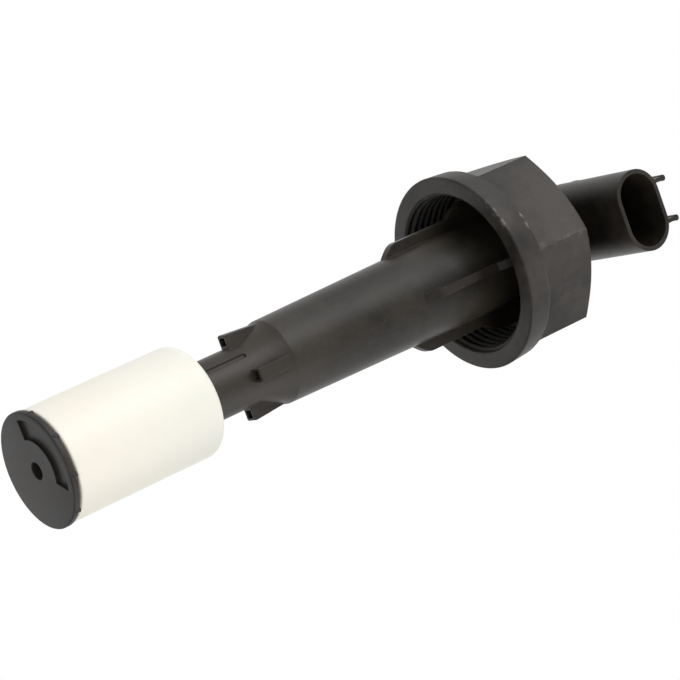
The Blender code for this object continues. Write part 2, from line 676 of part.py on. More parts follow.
def make_cushion():
    """A soft plug that holds the board's tongue in the tip of the guide tube."""
    low = BORE_FLOOR + GAP
    radius = GUIDE_BORE_RADIUS - GAP
    cushion = rod("tip_cushion", radius, low, CUSHION_HEIGHT, None, CUSHION_RUBBER, PARTS, steps=32)
    reach = (BOARD_THICKNESS / 2 + GAP, BOARD_TONGUE_WIDTH / 2 + GAP)
    cut(cushion, box("tongue_slot", (BOARD_PLANE - reach[0], -reach[1], low + CUSHION_FLOOR),
                     (BOARD_PLANE + reach[0], reach[1], low + CUSHION_HEIGHT + OVERLAP)))


def make_reed():
    """A glass capsule with two flat blades that overlap in its middle, each ending in a bent lead."""
    half = REED_LENGTH / 2
    inside = REED_RADIUS - REED_WALL
    hole = LEAD_RADIUS + GAP
    outline = [
        (hole, half),
        (REED_RADIUS - REED_WALL, half),
        (REED_RADIUS, half - REED_WALL),
        (REED_RADIUS, REED_WALL - half),
        (REED_RADIUS - REED_WALL, -half),
        (hole, -half),
        (hole, REED_END_WALL - half),
        (inside, REED_END_WALL - half),
        (inside, half - REED_END_WALL),
        (hole, half - REED_END_WALL),
    ]
    glass = turned("reed_glass", outline, CAPSULE_GLASS, PARTS, FINE_ROUND)
    glass.location = (REED_AXIS, 0, REED_MIDDLE)
    for name, side in (("reed_blade_lower", -1), ("reed_blade_upper", 1)):
        make_blade(name, side)


def make_blade(name, side):
    near = REED_AXIS + side * BLADE_GAP / 2
    far = near + side * BLADE_THICKNESS
    tip = REED_MIDDLE - side * BLADE_OVERLAP / 2
    end = REED_MIDDLE + side * (REED_LENGTH / 2 - REED_END_WALL - GAP)
    low = (min(near, far), -BLADE_WIDTH / 2, min(tip, end))
    high = (max(near, far), BLADE_WIDTH / 2, max(tip, end))
    blade = box(name, low, high, BLADE_METAL, PARTS)
    lead_from = REED_MIDDLE + side * (REED_LENGTH / 2 - REED_END_WALL - 3 * GAP)
    lead_to = REED_MIDDLE + side * (REED_LENGTH / 2 + LEAD_LENGTH)
    start = min(lead_from, lead_to)
    spot = Matrix.Translation((REED_AXIS, 0, 0))
    join(blade, rod(f"{name}_lead", LEAD_RADIUS, start, abs(lead_to - lead_from), spot, steps=12))
    foot_end = BOARD_FACE + GAP
    bend = Matrix.Translation((0, 0, lead_to)) @ Matrix.Rotation(math.radians(90), 4, "Y")
    foot = rod(f"{name}_foot", LEAD_RADIUS * 1.1, foot_end, REED_AXIS + LEAD_RADIUS - foot_end, bend, steps=12)
    join(blade, foot)


def make_resistors():
    depth, width, length = RESISTOR_SIZE
    for name, height in zip(("resistor_series", "resistor_parallel"), RESISTOR_HEIGHTS):
        near = BOARD_FACE + GAP
        body = box(name, (near, -width / 2, height - length / 2),
                   (near + depth, width / 2, height + length / 2), RESISTOR_BODY, PARTS)
        bevel = body.modifiers.new("edges", "BEVEL")
        bevel.width = 0.1 * MM
        bevel.segments = 1


make_housing()
make_end_cap()
make_float()
make_magnet()
make_seal()
make_lid()
make_nut()
make_pins()
make_carrier()
make_board()
make_cushion()
make_reed()
make_resistors()
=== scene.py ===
# %% [markdown]
# # A coolant level sensor
#
# The sensor screws into the neck of a coolant tank and hangs in the liquid. A black moulded
# stem holds a magnetic switch, an ivory float rides on its thin end, and a loose union nut
# clamps its flange. The solids say how big each piece is and how it moves. This script gives
# each piece its finer shape and its finish, so it starts by loading those solids.

import math

import bmesh
import bpy
from mathutils import Matrix, Vector


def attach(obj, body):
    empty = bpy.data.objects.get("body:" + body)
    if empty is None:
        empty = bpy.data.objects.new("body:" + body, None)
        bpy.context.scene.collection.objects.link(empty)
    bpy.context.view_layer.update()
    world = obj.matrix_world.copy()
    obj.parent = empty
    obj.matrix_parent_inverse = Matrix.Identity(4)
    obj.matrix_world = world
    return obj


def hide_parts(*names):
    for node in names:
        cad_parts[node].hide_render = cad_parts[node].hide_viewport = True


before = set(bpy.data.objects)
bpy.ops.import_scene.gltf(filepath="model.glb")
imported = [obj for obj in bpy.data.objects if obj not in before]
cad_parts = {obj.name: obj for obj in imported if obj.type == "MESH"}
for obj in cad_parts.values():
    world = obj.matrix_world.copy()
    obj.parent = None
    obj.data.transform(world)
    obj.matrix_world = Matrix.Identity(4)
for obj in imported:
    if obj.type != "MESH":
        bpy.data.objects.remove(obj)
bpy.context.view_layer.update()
MM = 0.001

# %% [markdown]
# ## The camera
#
# The picture was taken with a long lens from below the flange, looking up at the end cap and
# into the mouth of the plug socket. The camera's three directions are written in the part's
# own frame, so the part never has to be turned to suit the view.

# %% Set up the camera
IMAGE_WIDTH = 680
FOCAL_PIXELS = 2851.8
SENSOR = 36.0
CAMERA_PLACE = Vector((0.5382, -0.0861, -0.4094))
TO_RIGHT = Vector((0.5574, 0.3377, 0.7585))
TO_TOP = Vector((0.0821, -0.9315, 0.3544))
TO_VIEWER = TO_RIGHT.cross(TO_TOP).normalized()
MIDDLE = Vector((0, 0, -0.055))

lens = bpy.data.cameras.new("photo_lens")
lens.sensor_width = SENSOR
lens.lens = FOCAL_PIXELS / IMAGE_WIDTH * SENSOR
lens.clip_start = 0.01
camera = bpy.data.objects.new("photo_camera", lens)
turn = Matrix((TO_RIGHT.normalized(), TO_VIEWER.cross(TO_RIGHT).normalized(), TO_VIEWER)).transposed()
camera.matrix_world = Matrix.Translation(CAMERA_PLACE) @ turn.to_4x4()
bpy.context.scene.collection.objects.link(camera)
bpy.context.scene.camera = camera
print("lens length in mm:", round(lens.lens, 1))

# %% [markdown]
# ## Tools for turned and flat-sided shapes
#
# Nearly every piece was moulded round an axis, so most of them start as a profile that is spun.
# Ribs, fins and the socket start as a flat outline that is extruded. A moulder would cut the
# hollows into the steel of the mould, and here Booleans do the same job.

# %% Make the shaping tools
ROUND = 160
WELD = 1e-7


def finish_mesh(name, shape):
    """Turns a bmesh into an object, with its doubles merged and its faces pointing out."""
    bmesh.ops.remove_doubles(shape, verts=shape.verts, dist=WELD)
    bmesh.ops.recalc_face_normals(shape, faces=shape.faces)
    mesh = bpy.data.meshes.new(name)
    shape.to_mesh(mesh)
    shape.free()
    piece = bpy.data.objects.new(name, mesh)
    bpy.context.scene.collection.objects.link(piece)
    return piece


def arc(middle, radius, start, end, steps):
    """Points along an arc, from one angle to another, in degrees."""
    angles = [math.radians(start + (end - start) * step / steps) for step in range(steps + 1)]
    return [(middle[0] + radius * math.cos(a), middle[1] + radius * math.sin(a)) for a in angles]


def spun(name, outline, steps=ROUND):
    """Spins a profile of (radius, height) points round the stem's axis."""
    shape = bmesh.new()
    points = [shape.verts.new((radius, 0, height)) for radius, height in outline]
    edges = [shape.edges.new(pair) for pair in zip(points, points[1:])]
    if outline[0][0] > 0 or outline[-1][0] > 0:
        edges.append(shape.edges.new((points[-1], points[0])))
    bmesh.ops.spin(shape, geom=points + edges, cent=(0, 0, 0), axis=(0, 0, 1),
                   angle=2 * math.pi, steps=steps, use_merge=True)
    return finish_mesh(name, shape)


def extruded(name, outline, thickness, place=Matrix(), soften=0.0):
    """Gives a flat outline a thickness, centred on its plane, and rounds its rims."""
    shape = bmesh.new()
    face = shape.faces.new([shape.verts.new((x, y, -thickness / 2)) for x, y in outline])
    raised = bmesh.ops.extrude_face_region(shape, geom=[face], use_keep_orig=True)["geom"]
    lifted = [part for part in raised if isinstance(part, bmesh.types.BMVert)]
    bmesh.ops.translate(shape, verts=lifted, vec=(0, 0, thickness))
    if soften:
        rims = [edge for edge in shape.edges if abs(edge.verts[0].co.z - edge.verts[1].co.z) < WELD]
        bmesh.ops.bevel(shape, geom=rims, offset=soften, segments=3, profile=0.5,
                        affect="EDGES", material=-1)
    bmesh.ops.transform(shape, matrix=place, verts=shape.verts)
    return finish_mesh(name, shape)


def carve(piece, *steps):
    """Joins tools to a piece and cuts them out of it, in order, and keeps only the result."""
    for operation, tool in steps:
        cut = piece.modifiers.new(tool.name, "BOOLEAN")
        cut.operation = operation
        cut.object = tool
        cut.solver = "EXACT"
    bpy.context.view_layer.update()
    settled = bpy.context.evaluated_depsgraph_get()
    mesh = bpy.data.meshes.new_from_object(piece.evaluated_get(settled), depsgraph=settled)
    piece.modifiers.clear()
    piece.data = mesh
    for _, tool in steps:
        bpy.data.objects.remove(tool, do_unlink=True)
    print(piece.name, "has", len(mesh.polygons), "faces")
    return piece


def hand_over(piece, node, body, finish, crease=28):
    """Smooths a piece, gives it its finish, and lets it stand for a solid."""
    piece.data.materials.clear()
    piece.data.materials.append(finish)
    piece.data.shade_smooth()
    piece.data.set_sharp_from_angle(angle=math.radians(crease))
    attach(piece, body)
    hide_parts(node)


def upright(angle):
    """Stands an outline drawn in (radius, height) in the plane at an angle round the stem."""
    return Matrix.Rotation(angle, 4, "Z") @ Matrix.Rotation(math.pi / 2, 4, "X")


def quarter_turns():
    return [math.radians(90 * step) for step in range(4)]


# %% [markdown]
# ## Tools for finishes
#
# A finish here is a small net of shader nodes. Writing the maths of its masks as plain Python
# expressions keeps it readable, so one class wraps a socket and turns + - * / into nodes, and
# another adds every other kind of node.

# %% Make the finishing tools
class Amount:
    """A number that varies over a surface. Its operators add Math nodes."""

    def __init__(self, finish, socket):
        self.finish = finish
        self.socket = socket

    def __add__(self, other):
        return self.finish.maths("ADD", self, other)

    def __sub__(self, other):
        return self.finish.maths("SUBTRACT", self, other)

    def __rsub__(self, other):
        return self.finish.maths("SUBTRACT", other, self)

    def __mul__(self, other):
        return self.finish.maths("MULTIPLY", self, other)

    __radd__ = __add__
    __rmul__ = __mul__


class Finish:
    """A material, its shader, and the nodes that drive it."""

    def __init__(self, name, **plain):
        self.material = bpy.data.materials.new(name)
        self.material.use_nodes = True
        self.tree = self.material.node_tree
        self.shader = self.tree.nodes["Principled BSDF"]
        for socket, value in plain.items():
            self.shader.inputs[socket.replace("_", " ")].default_value = value
        self.place = self.add("ShaderNodeTexCoord").outputs["Object"]

    def add(self, kind, settings=None, inputs=None):
        node = self.tree.nodes.new(kind)
        for name, value in (settings or {}).items():
            setattr(node, name, value)
        for name, value in (inputs or {}).items():
            socket = next(s for s in node.inputs if name in (s.identifier, s.name) and s.enabled)
            self.feed(socket, value)
        return node

    def feed(self, socket, value):
        if isinstance(value, Amount):
            value = value.socket
        if isinstance(value, bpy.types.NodeSocket):
            self.tree.links.new(value, socket)
        else:
            socket.default_value = value

    def maths(self, operation, first, second):
        node = self.add("ShaderNodeMath", {"operation": operation})
        self.feed(node.inputs[0], first)
        self.feed(node.inputs[1], second)
        return Amount(self, node.outputs[0])

    def noise(self, size, detail=2.0, roughness=0.5, stretch=(1, 1, 1)):
        """Clouds whose patches are about as wide as size, in metres, from 0 to 1."""
        place = self.add("ShaderNodeMapping", {}, {"Vector": self.place, "Scale": stretch})
        clouds = self.add("ShaderNodeTexNoise", {}, {
            "Vector": place.outputs[0], "Scale": 1 / size, "Detail": detail, "Roughness": roughness})
        return Amount(self, clouds.outputs["Fac"])

    def height(self):
        """How far up the stem a place is, in metres."""
        return Amount(self, self.add("ShaderNodeSeparateXYZ", {}, {"Vector": self.place}).outputs["Z"])

    def ramp(self, amount, low, high, start=0.0, end=1.0):
        """Stretches the part of an amount between low and high to between start and end."""
        node = self.add("ShaderNodeMapRange", {"interpolation_type": "SMOOTHSTEP"}, {
            "Value": amount, "From Min": low, "From Max": high, "To Min": start, "To Max": end})
        return Amount(self, node.outputs["Result"])

    def blend(self, share, first, second):
        node = self.add("ShaderNodeMix", {"data_type": "RGBA"}, {
            "Factor_Float": share, "A_Color": first, "B_Color": second})
        return next(s for s in node.outputs if s.identifier == "Result_Color")

    def edges(self, radius):
        """The normal of a rounded edge, and how much it leans away from the flat one."""
        bevel = self.add("ShaderNodeBevel", {"samples": 4}, {"Radius": radius})
        flat = self.add("ShaderNodeNewGeometry").outputs["Normal"]
        lean = self.add("ShaderNodeVectorMath", {"operation": "DOT_PRODUCT"})
        self.feed(lean.inputs[0], bevel.outputs[0])
        self.feed(lean.inputs[1], flat)
        return bevel.outputs[0], 1 - Amount(self, lean.outputs["Value"])

    def open_air(self, reach):
        """1 where nothing stands near a surface, and 0 down in a corner, where nothing rubs."""
        air = self.add("ShaderNodeAmbientOcclusion", {"samples": 4}, {"Distance": reach})
        return self.ramp(Amount(self, air.outputs["AO"]), 0.7, 0.95)

    def relief(self, height, depth, normal=None):
        inputs = {"Height": height, "Distance": depth, "Strength": 1.0}
        if normal is not None:
            inputs["Normal"] = normal
        return self.add("ShaderNodeBump", {}, inputs).outputs["Normal"]

    def set(self, socket, value):
        self.feed(self.shader.inputs[socket], value)


def rgba(red, green, blue):
    return (red, green, blue, 1.0)


# %% [markdown]
# ## Black moulded plastic
#
# The stem, the end cap and the lid are glass-filled nylon, black and satin. It is never one flat
# black: the skin is greyer where the fibres lie near it, the lower stem is bleached by the
# coolant, and a fine spark-eroded grain breaks up the highlight. Edges that stand out get
# rubbed lighter, but corners don't, so the wear is masked by how open the air around it is.
#
# The nut was also knocked white where a spanner or the tank hit it. Those places could be
# painted by hand, but written as angles round the stem and heights they need no picture.

# %% Knock the nut white
KNOCK_PLACES = {
    "front rim": (-41.0, -18.0, -14.2 * MM, 0.6 * MM, 0.35),
    "rear rim": (-29.0, -13.0, -7.3 * MM, 1.9 * MM, 1.0),
    "rear rim by the corner": (-11.0, -4.0, -6.8 * MM, 1.6 * MM, 0.25),
    "top of the rear rim": (-43.0, -37.0, -7.9 * MM, 0.8 * MM, 0.4),
    "corner between two flats": (-3.6, -1.0, 1.0 * MM, 6.0 * MM, 0.28),
}
KNOCK_FADE = math.radians(1.5)
KNOCK_RADIUS = 22.6 * MM
KNOCK_DEPTH = 0.8 * MM
KNOCK_PATCH = 1.7 * MM


def knocked(finish):
    """White wear at set places: angles from and to, a height, half a width and a share."""
    place = finish.add("ShaderNodeSeparateXYZ", {}, {"Vector": finish.place})
    angle = finish.maths("ARCTAN2", Amount(finish, place.outputs["Y"]), Amount(finish, place.outputs["X"]))
    patchy = finish.ramp(finish.noise(KNOCK_PATCH, 5, 0.7), 0.44, 0.62)
    total = 0.0
    for first, last, height, half_width, share in KNOCK_PLACES.values():
        first, last = math.radians(first), math.radians(last)
        enters = finish.ramp(angle, first - KNOCK_FADE, first + KNOCK_FADE)
        leaves = finish.ramp(angle, last + KNOCK_FADE, last - KNOCK_FADE)
        away = finish.maths("ABSOLUTE", Amount(finish, place.outputs["Z"]) - height, 0.0)
        near = finish.ramp(away, half_width, half_width * 0.2)
        total = enters * leaves * near * share + total
    across = finish.add("ShaderNodeCombineXYZ", {}, {"X": place.outputs["X"], "Y": place.outputs["Y"]})
    radius = finish.add("ShaderNodeVectorMath", {"operation": "LENGTH"}, {"Vector": across.outputs[0]})
    outside = finish.ramp(Amount(finish, radius.outputs["Value"]), KNOCK_RADIUS, KNOCK_RADIUS + KNOCK_DEPTH)
    return total * patchy * outside


print("knocked places on the nut:", len(KNOCK_PLACES))

# %% Mix the black plastics
BLEACH_TOP = -58 * MM
BLEACH_FULL = -84 * MM
BLEACHED = rgba(0.06, 0.052, 0.045)
WORN = rgba(0.3, 0.29, 0.27)


def moulded_black(name, dark, light, roughness, grain_depth, scuff, bleach=0.0, knocks=False,
                  edge=0.35 * MM, gloss=0.26):
    finish = Finish(name, IOR=1.5, Specular_IOR_Level=gloss)
    clouds = finish.noise(14 * MM, 4, 0.6)
    flow = finish.noise(3 * MM, 3, 0.6, (1, 1, 0.12))
    grain = finish.noise(0.22 * MM, 2, 0.7)
    fleck = finish.ramp(finish.noise(0.9 * MM, 5, 0.8), 0.56, 0.76)
    soft_normal, lean = finish.edges(edge)
    rubbed = finish.ramp(lean, 0.02, 0.2) * finish.ramp(finish.noise(2.2 * MM, 4, 0.7), 0.5, 0.72)
    rubbed = rubbed * finish.open_air(1.2 * MM)
    streak = finish.ramp(finish.noise(2.6 * MM, 5, 0.8, (1, 1, 0.35)), 0.66, 0.8)
    skin = finish.blend(finish.ramp(clouds * 0.8 + flow * 0.2, 0.3, 0.7), dark, light)
    if bleach:
        wetted = finish.ramp(finish.height(), BLEACH_TOP, BLEACH_FULL)
        skin = finish.blend(wetted * bleach, skin, BLEACHED)
    wear = rubbed * scuff + fleck * 0.1 + streak * scuff * 0.15
    if knocks:
        wear = wear + knocked(finish)
    finish.set("Base Color", finish.blend(wear, skin, WORN))
    finish.set("Roughness", roughness + clouds * 0.18 + flow * 0.1 + fleck * 0.12 - 0.14)
    finish.set("Normal", finish.relief(grain + flow * 0.6 + fleck * 0.4, grain_depth, soft_normal))
    return finish.material


STEM_BLACK = moulded_black("stem_black", rgba(0.008, 0.0065, 0.005), rgba(0.029, 0.024, 0.0185),
                           roughness=0.36, grain_depth=0.035 * MM, scuff=0.25, bleach=0.4, gloss=0.23)
CAP_BLACK = moulded_black("cap_black", rgba(0.014, 0.012, 0.011), rgba(0.034, 0.029, 0.0265),
                          roughness=0.5, grain_depth=0.03 * MM, scuff=0.3)
NUT_BLACK = moulded_black("nut_black", rgba(0.008, 0.0065, 0.005), rgba(0.044, 0.037, 0.032),
                          roughness=0.44, grain_depth=0.045 * MM, scuff=0.6, knocks=True, edge=0.6 * MM)
CARRIER_BLACK = moulded_black("carrier_black", rgba(0.01, 0.01, 0.01), rgba(0.02, 0.02, 0.02),
                              roughness=0.5, grain_depth=0.02 * MM, scuff=0.2)

# %% [markdown]
# ## Ivory float plastic
#
# The float is a thin shell of natural polypropylene. It is milky, so light spreads a little way
# under its skin, and it is warmer towards the end cap. Faint rings from the mould show in it.

# %% Mix the float's plastic
IVORY_NEAR = -132 * MM
IVORY_FAR = -98 * MM
IVORY_COOL = rgba(0.815, 0.807, 0.73)


def milky(name):
    finish = Finish(name, IOR=1.48)
    clouds = finish.noise(11 * MM, 4, 0.6)
    rings = finish.noise(1.6 * MM, 3, 0.6, (0.1, 0.1, 1))
    grain = finish.noise(0.3 * MM, 2, 0.6)
    dust = finish.ramp(finish.noise(1.2 * MM, 5, 0.8), 0.64, 0.76)
    soft_normal, _ = finish.edges(0.3 * MM)
    skin = finish.blend(clouds * 0.7 + rings * 0.3, rgba(0.885, 0.848, 0.765), rgba(0.85, 0.808, 0.71))
    away = finish.ramp(finish.height(), IVORY_NEAR, IVORY_FAR)
    skin = finish.blend(away * 0.8, skin, IVORY_COOL)
    finish.set("Base Color", finish.blend(dust * 0.12, skin, rgba(0.5, 0.46, 0.38)))
    finish.set("Roughness", 0.4 + clouds * 0.12 + rings * 0.06)
    finish.set("Normal", finish.relief(grain + rings * 0.7, 0.02 * MM, soft_normal))
    finish.shader.inputs["Subsurface Weight"].default_value = 0.4
    finish.shader.inputs["Subsurface Radius"].default_value = (1.0, 0.9, 0.8)
    finish.shader.inputs["Subsurface Scale"].default_value = 1.5 * MM
    return finish.material


FLOAT_IVORY = milky("float_ivory")

# %% [markdown]
# ## Rubber, metal, glass and the board
#
# These are the small pieces that show only in the socket, behind the nut or when the part is
# taken apart. Each gets one or two layers of variation at its own scale.

# %% Mix the small finishes
def plain_finish(name, first, second, roughness, patch, grain, depth, metallic=0.0):
    finish = Finish(name, Metallic=metallic)
    clouds = finish.noise(patch, 4, 0.6)
    fine = finish.noise(grain, 2, 0.6)
    finish.set("Base Color", finish.blend(clouds * 0.7 + fine * 0.3, first, second))
    finish.set("Roughness", roughness + clouds * 0.16 - 0.08)
    finish.set("Normal", finish.relief(fine, depth))
    return finish.material


SEAL_RUBBER = plain_finish("seal_rubber_black", rgba(0.014, 0.014, 0.014), rgba(0.03, 0.03, 0.03),
                           0.75, 4 * MM, 0.3 * MM, 0.03 * MM)
CUSHION_RUBBER = plain_finish("cushion_rubber_red", rgba(0.42, 0.1, 0.07), rgba(0.55, 0.15, 0.1),
                              0.7, 3 * MM, 0.3 * MM, 0.03 * MM)
PIN_METAL = plain_finish("pin_tin", rgba(0.7, 0.69, 0.67), rgba(0.8, 0.79, 0.77),
                         0.3, 1.5 * MM, 0.2 * MM, 0.008 * MM, 1.0)
BLADE_METAL = plain_finish("blade_nickel", rgba(0.58, 0.56, 0.52), rgba(0.68, 0.66, 0.62),
                           0.35, 1 * MM, 0.15 * MM, 0.005 * MM, 1.0)
BOARD_GREEN = plain_finish("board_green", rgba(0.03, 0.13, 0.05), rgba(0.06, 0.19, 0.08),
                           0.4, 5 * MM, 0.4 * MM, 0.02 * MM)
RESISTOR_GLAZE = plain_finish("resistor_glaze", rgba(0.02, 0.02, 0.025), rgba(0.05, 0.05, 0.055),
                              0.35, 0.8 * MM, 0.15 * MM, 0.01 * MM)
MAGNET_GREY = plain_finish("magnet_grey", rgba(0.045, 0.045, 0.05), rgba(0.085, 0.083, 0.085),
                           0.6, 1.5 * MM, 0.25 * MM, 0.03 * MM, 0.3)
CAPSULE_GLASS = plain_finish("capsule_glass_green", rgba(0.3, 0.55, 0.45), rgba(0.4, 0.66, 0.55),
                             0.14, 2 * MM, 0.5 * MM, 0.004 * MM)

# %% [markdown]
# ## The housing
#
# One moulding makes the guide tube, the shoulder with its four buttress fins, the tapering stem,
# the ribs, the flange, the head and the plug socket. It is spun first, and the rest is joined to
# it in the order in which a toolmaker would cut it.

# %% Spin the housing's core
STEM_REACH = 137.0 * MM
CAP_THICKNESS = 1.4 * MM
GAP = 0.3 * MM
STEM_TOP_RADIUS = 11.25 * MM
STEM_LOW_RADIUS = 10.1 * MM
SHOULDER_TOP = -72.6 * MM
SHOULDER_HEIGHT = 8.2 * MM
SHOULDER_ROUND = 1.2 * MM
GUIDE_RADIUS = 7.15 * MM
HEAD_RADIUS = 9.1 * MM
HEAD_HEIGHT = 27.8 * MM
FLANGE_RADIUS = 18.3 * MM
FLANGE_THICKNESS = 3.6 * MM
EDGE = 0.6 * MM
SHOULDER_FOOT = SHOULDER_TOP - SHOULDER_HEIGHT
GUIDE_END = -STEM_REACH + CAP_THICKNESS + GAP
OVERLAP = 1.0 * MM

slope = math.degrees(math.atan2(SHOULDER_HEIGHT, STEM_LOW_RADIUS - GUIDE_RADIUS))
run = SHOULDER_ROUND * math.tan(math.radians((90 - slope) / 2))
shoulder = arc((STEM_LOW_RADIUS - SHOULDER_ROUND, SHOULDER_TOP + run), SHOULDER_ROUND, 0, slope - 90, 8)
core_outline = [(0, HEAD_HEIGHT)]
core_outline += arc((HEAD_RADIUS - EDGE, HEAD_HEIGHT - EDGE), EDGE, 90, 0, 6)
core_outline += arc((HEAD_RADIUS + EDGE, FLANGE_THICKNESS + EDGE), EDGE, 180, 270, 5)
core_outline += [(FLANGE_RADIUS, FLANGE_THICKNESS), (FLANGE_RADIUS, 0), (STEM_TOP_RADIUS, 0)]
core_outline += shoulder + [(GUIDE_RADIUS, SHOULDER_FOOT), (GUIDE_RADIUS, GUIDE_END), (0, GUIDE_END)]
housing = spun("housing_skin", core_outline)
print("core spun from", len(core_outline), "points")

# %% [markdown]
# ## Ribs and fins
#
# Four ribs centre the sensor in the tank's neck: each ramps out of the stem, runs level, and
# swells to meet the flange. Four buttress fins stand over the shoulder, cored out from below so
# that their plastic stays thin and doesn't sink.

# %% Draw the ribs and fins
RIB_WIDTH = 2.0 * MM
RIB_LENGTH = 34.6 * MM
RIB_RAMP = 4.6 * MM
RIB_RADIUS = 13.4 * MM
RIB_COLLAR_RADIUS = 15.9 * MM
RIB_COLLAR_LENGTH = 8.0 * MM
RIB_BLEND = 5.7 * MM
FIN_DROP = 1.9 * MM
FIN_RADIUS = 10.2 * MM
FIN_REAR_RADIUS = 9.4 * MM
FIN_LENGTH = 10.5 * MM
FIN_WIDTH = 3.0 * MM
FIN_WALL = 0.5 * MM
FIN_NOSE = 0.5 * MM
RIB_SINK = 0.2 * MM
FIN_POCKET_DEPTH = 3.0 * MM
FIN_FACE = SHOULDER_FOOT - FIN_DROP


def stem_radius(height):
    return STEM_TOP_RADIUS + (STEM_LOW_RADIUS - STEM_TOP_RADIUS) * height / SHOULDER_TOP


def rib_outline(steps=14):
    root = STEM_LOW_RADIUS - OVERLAP
    foot = stem_radius(-RIB_LENGTH) - RIB_SINK
    outline = [(root, -RIB_LENGTH)]
    for step in range(steps + 1):
        share = step / steps
        reach = foot + (RIB_RADIUS - foot) * math.sin(share * math.pi / 2)
        outline.append((reach, -RIB_LENGTH + RIB_RAMP * share))
    for step in range(steps + 1):
        share = step / steps
        lift = (RIB_COLLAR_RADIUS - RIB_RADIUS) * math.sin(share * math.pi / 2)
        outline.append((RIB_RADIUS + lift, -RIB_COLLAR_LENGTH - RIB_BLEND * (1 - share)))
    return outline + [(RIB_COLLAR_RADIUS, OVERLAP), (root, OVERLAP)]


def fin_outline():
    root = GUIDE_RADIUS - OVERLAP
    corner = arc((FIN_RADIUS - FIN_NOSE, FIN_FACE + FIN_NOSE), FIN_NOSE, -90, 0, 5)
    rear = [(FIN_REAR_RADIUS, FIN_FACE + FIN_LENGTH), (root, FIN_FACE + FIN_LENGTH)]
    return [(root, FIN_FACE)] + corner + rear


def fin_pocket_outline():
    inner, outer = GUIDE_RADIUS + FIN_WALL, FIN_RADIUS - FIN_WALL
    low, high = FIN_FACE - OVERLAP, FIN_FACE + FIN_POCKET_DEPTH
    return [(inner, low), (outer, low), (outer - FIN_WALL, high), (inner, high)]


ribs = [extruded(f"rib_{n}", rib_outline(), RIB_WIDTH, upright(a)) for n, a in enumerate(quarter_turns())]
fins = [extruded(f"fin_{n}", fin_outline(), FIN_WIDTH, upright(a)) for n, a in enumerate(quarter_turns())]
pockets = [extruded(f"pocket_{n}", fin_pocket_outline(), FIN_WIDTH - 2 * FIN_WALL, upright(a))
           for n, a in enumerate(quarter_turns())]
print("ribs and fins:", len(ribs) + len(fins))

# %% [markdown]
# ## The plug socket
#
# The socket is an oval shroud on the side of the head. A pair of rails on it guides the cable's
# plug, a nib between them holds its latch, and two pins stand inside. The oval is a rectangle
# with round ends, so it needs only two arcs.

# %% Draw the plug socket
SOCKET_MOUTH = 27.6 * MM
SOCKET_WIDTH = 13.0 * MM
SOCKET_LENGTH = 19.8 * MM
SOCKET_WALL = 1.05 * MM
SOCKET_DEPTH = 17.6 * MM
RAIL_SPACING = 10.0 * MM
RAIL_THICKNESS = 0.95 * MM
RAIL_HEIGHT = 2.4 * MM
RAIL_LENGTH = 13.0 * MM
RAIL_BEAD = 1.5 * MM
LATCH_WIDTH = 4.0 * MM
LATCH_LENGTH = 4.5 * MM
LATCH_HEIGHT = 1.5 * MM
LATCH_SETBACK = 4.0 * MM
CARRIER_LENGTH = 12.4 * MM
CARRIER_WIDTH = 5.0 * MM
SOCKET_MIDDLE = HEAD_HEIGHT - SOCKET_WIDTH / 2
SOCKET_FLOOR = SOCKET_MOUTH - SOCKET_DEPTH


def oval(width, length, steps=28):
    radius = width / 2
    middle = length / 2 - radius
    return arc((0, middle), radius, 0, 180, steps) + arc((0, -middle), radius, 180, 360, steps)


def across_socket(distance):
    """Stands an outline drawn in (up the stem, across it) at a distance from the stem's axis."""
    return Matrix(((0, 0, 1, distance), (0, 1, 0, 0), (1, 0, 0, SOCKET_MIDDLE), (0, 0, 0, 1)))


def block(name, low, high):
    size = Vector(high) - Vector(low)
    shape = bmesh.new()
    place = Matrix.Translation((Vector(high) + Vector(low)) / 2) @ Matrix.Diagonal((*size, 1.0))
    bmesh.ops.create_cube(shape, size=1.0, matrix=place)
    return finish_mesh(name, shape)


def rod(name, radius, length, place, steps=32):
    """A rod that starts at its place and runs along that place's own Z."""
    shape = bmesh.new()
    middle = place @ Matrix.Translation((0, 0, length / 2))
    bmesh.ops.create_cone(shape, cap_ends=True, segments=steps, radius1=radius, radius2=radius,
                          depth=length, matrix=middle)
    return finish_mesh(name, shape)


shroud = extruded("shroud", oval(SOCKET_WIDTH, SOCKET_LENGTH), SOCKET_MOUTH,
                  across_socket(SOCKET_MOUTH / 2))
hollow = extruded("hollow", oval(SOCKET_WIDTH - 2 * SOCKET_WALL, SOCKET_LENGTH - 2 * SOCKET_WALL),
                  SOCKET_DEPTH + OVERLAP, across_socket(SOCKET_FLOOR + (SOCKET_DEPTH + OVERLAP) / 2))
window = block("window", (0, -CARRIER_LENGTH / 2 - GAP, SOCKET_MIDDLE - CARRIER_WIDTH / 2 - GAP),
               (SOCKET_FLOOR + OVERLAP, CARRIER_LENGTH / 2 + GAP, SOCKET_MIDDLE + CARRIER_WIDTH / 2 + GAP))
rails = []
rail_start = SOCKET_MOUTH - RAIL_LENGTH
for side in (-1, 1):
    middle = side * RAIL_SPACING / 2
    rails.append(block(f"rail_{side}", (rail_start, middle - RAIL_THICKNESS / 2, HEAD_HEIGHT - OVERLAP),
                       (SOCKET_MOUTH, middle + RAIL_THICKNESS / 2, HEAD_HEIGHT + RAIL_HEIGHT)))
    along = Matrix.Translation((rail_start, middle, HEAD_HEIGHT + RAIL_HEIGHT))
    along = along @ Matrix.Rotation(math.pi / 2, 4, "Y")
    rails.append(rod(f"bead_{side}", RAIL_BEAD / 2, RAIL_LENGTH, along))
front = SOCKET_MOUTH - LATCH_SETBACK
